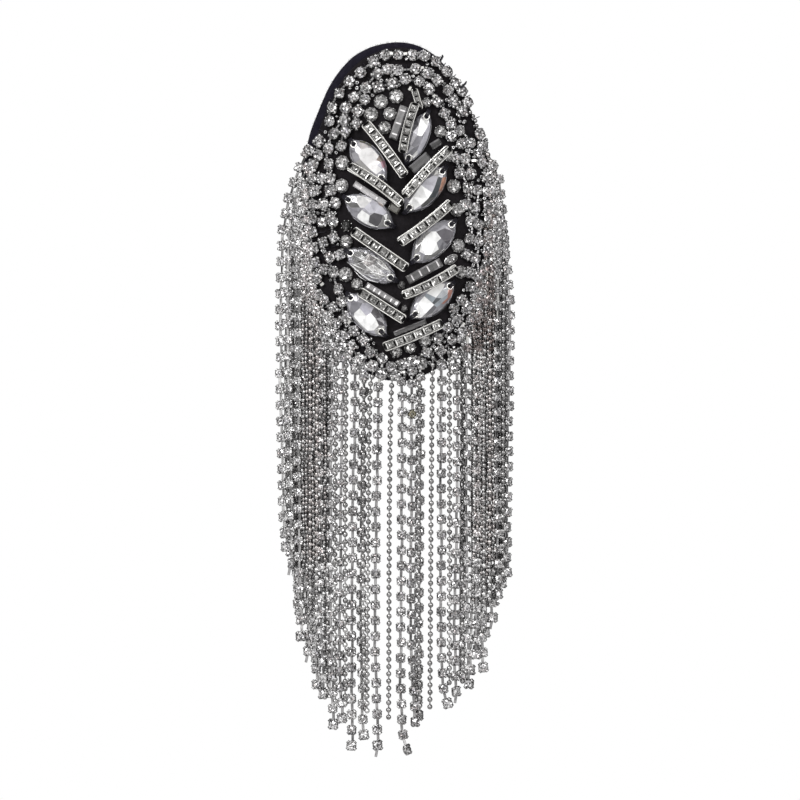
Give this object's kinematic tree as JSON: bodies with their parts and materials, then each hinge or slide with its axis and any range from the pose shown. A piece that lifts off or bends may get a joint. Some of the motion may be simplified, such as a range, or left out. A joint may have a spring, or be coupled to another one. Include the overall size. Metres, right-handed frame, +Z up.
{
  "type": "tassel epaulette",
  "caption": "Shoulder ornament: an arched felt oval set with rhinestone chain, pointed crystals and channel bars, with a long fringe of rhinestone and ball chain.",
  "frame": {"origin": "middle of the pin wire on the back, where the ornament is pinned to the shoulder", "axes": "+Z up along the board and against the hang of the fringe, -Y out of the stone-set face, +X to the viewer's right"},
  "size_m": [0.0716, 0.0194, 0.2147],
  "materials": {
    "felt": "matt stiff felt",
    "rhinestone_chain": "silver plated cups with clear stones",
    "round_crystal": "faceted, foil backed",
    "pointed_crystal": "faceted, foil backed",
    "channel_metal": "silver plated channel with square stones",
    "clear_glass": "polished, bevelled",
    "fringe_chain": "silver plated cups with clear stones, and ball chain",
    "ball_chain": "polished",
    "pin_metal": "nickel plated"
  },
  "bodies": {
    "root": {"backing_board": "felt", "face_panel": "felt", "border_chain_outer": "rhinestone_chain", "border_chain_middle": "rhinestone_chain", "border_chain_inner": "rhinestone_chain", "border_chain_inner_left": "rhinestone_chain", "round_stone_1": "round_crystal", "round_stone_2": "round_crystal", "round_stone_3": "round_crystal", "round_stone_4": "round_crystal", "round_stone_5": "round_crystal", "round_stone_6": "round_crystal", "round_stone_7": "round_crystal", "round_stone_8": "round_crystal", "round_stone_9": "round_crystal", "round_stone_10": "round_crystal", "round_stone_11": "round_crystal", "round_stone_12": "round_crystal", "round_stone_13": "round_crystal", "round_stone_14": "round_crystal", "round_stone_15": "round_crystal", "round_stone_16": "round_crystal", "round_stone_17": "round_crystal", "round_stone_18": "round_crystal", "round_stone_19": "round_crystal", "round_stone_20": "round_crystal", "round_stone_21": "round_crystal", "marquise_1": "pointed_crystal", "marquise_2": "pointed_crystal", "marquise_3": "pointed_crystal", "marquise_4": "pointed_crystal", "marquise_5": "pointed_crystal", "marquise_6": "pointed_crystal", "marquise_7": "pointed_crystal", "marquise_8": "pointed_crystal", "channel_bar_1": "channel_metal", "channel_bar_2": "channel_metal", "channel_bar_3": "channel_metal", "channel_bar_4": "channel_metal", "channel_bar_5": "channel_metal", "channel_bar_6": "channel_metal", "channel_bar_7": "channel_metal", "channel_bar_8": "channel_metal", "channel_bar_9": "channel_metal", "channel_bar_10": "channel_metal", "baguette_1": "clear_glass", "baguette_2": "clear_glass", "baguette_3": "clear_glass", "baguette_4": "clear_glass", "baguette_5": "clear_glass", "baguette_6": "clear_glass", "baguette_7": "clear_glass", "fringe_left": "fringe_chain", "fringe_middle_left": "fringe_chain", "ball_strand_left": "ball_chain", "fringe_centre": "fringe_chain", "ball_strand_right": "ball_chain", "fringe_middle_right": "fringe_chain", "fringe_right": "fringe_chain", "pin_back": "pin_metal"}
  },
  "joints": []
}
